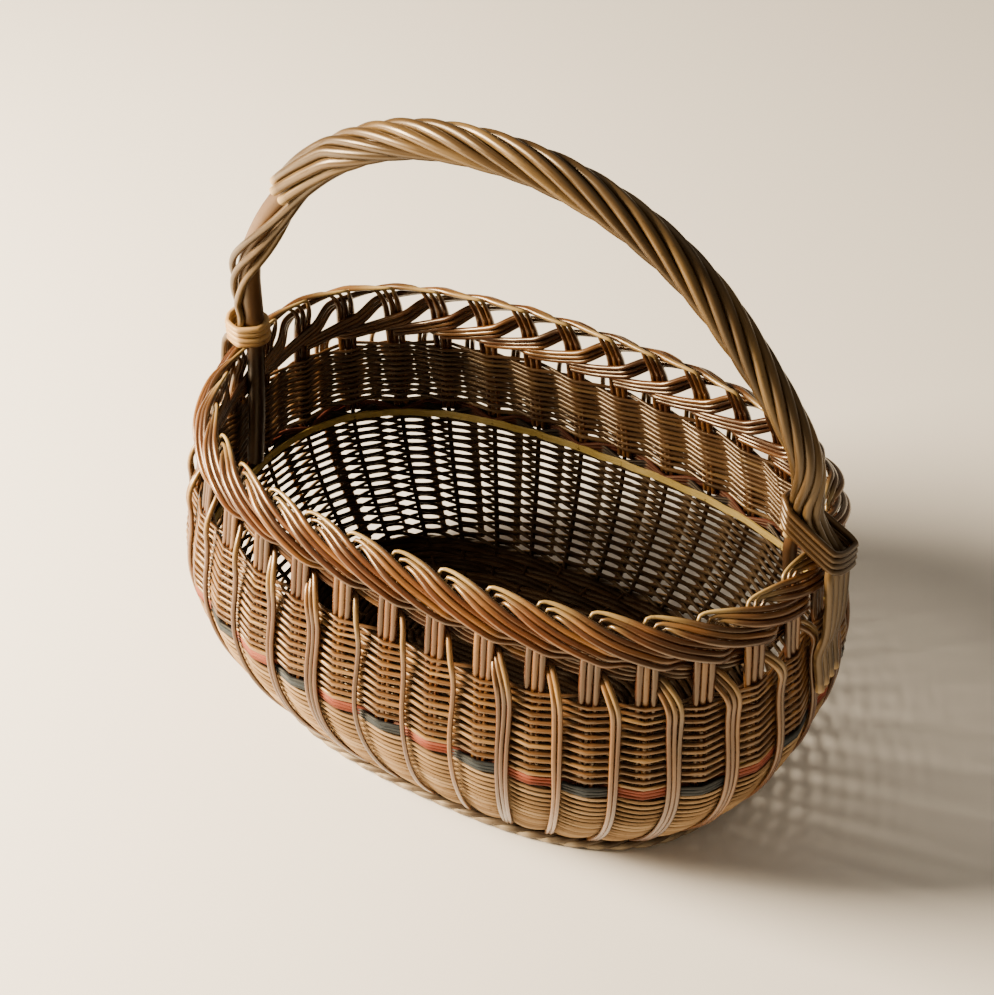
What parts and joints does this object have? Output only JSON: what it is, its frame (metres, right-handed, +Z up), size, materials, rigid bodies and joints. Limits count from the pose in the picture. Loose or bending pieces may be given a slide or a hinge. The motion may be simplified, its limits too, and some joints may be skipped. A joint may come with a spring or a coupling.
{
  "type": "wicker basket",
  "caption": "Oval wicker basket with a trac border at the rim, a woven base and wall, and a fixed twisted handle over its length, for carrying and storing.",
  "frame": {"origin": "on the floor under the middle of the basket", "axes": "+X along the basket's length and the handle's arch, +Y across its width, +Z up"},
  "size_m": [0.4546, 0.3018, 0.4496],
  "materials": {
    "stake": "satin willow",
    "weaver": "satin willow",
    "pale_weaver": "satin willow",
    "blue_weaver": "satin willow",
    "red_weaver": "satin willow",
    "strip": "satin willow",
    "base": "satin willow",
    "foot_ring": "satin willow",
    "handle_core": "satin willow",
    "handle_strand": "satin willow",
    "binding": "satin willow"
  },
  "bodies": {
    "root": {"stake_group_01": "stake", "stake_group_02": "stake", "stake_group_03": "stake", "stake_group_04": "stake", "stake_group_05": "stake", "stake_group_06": "stake", "stake_group_07": "stake", "stake_group_08": "stake", "stake_group_09": "stake", "stake_group_10": "stake", "stake_group_11": "stake", "stake_group_12": "stake", "stake_group_13": "stake", "stake_group_14": "stake", "stake_group_15": "stake", "stake_group_16": "stake", "stake_group_17": "stake", "stake_group_18": "stake", "stake_group_19": "stake", "stake_group_20": "stake", "stake_group_21": "stake", "stake_group_22": "stake", "stake_group_23": "stake", "stake_group_24": "stake", "stake_group_25": "stake", "stake_group_26": "stake", "stake_group_27": "stake", "stake_group_28": "stake", "stake_group_29": "stake", "stake_group_30": "stake", "stake_group_31": "stake", "stake_group_32": "stake", "stake_group_33": "stake", "stake_group_34": "stake", "lower_weave": "pale_weaver", "upper_weave": "weaver", "red_weavers": "red_weaver", "blue_weavers": "blue_weaver", "inner_strip": "strip", "base": "base", "foot_ring": "foot_ring", "handle_core": "handle_core", "handle_strand_1": "handle_strand", "handle_strand_2": "handle_strand", "handle_strand_3": "handle_strand", "handle_strand_4": "handle_strand", "handle_strand_5": "handle_strand", "handle_strand_6": "handle_strand", "handle_strand_7": "handle_strand", "handle_strand_8": "handle_strand", "left_binding": "binding", "right_binding": "binding"}
  },
  "joints": []
}
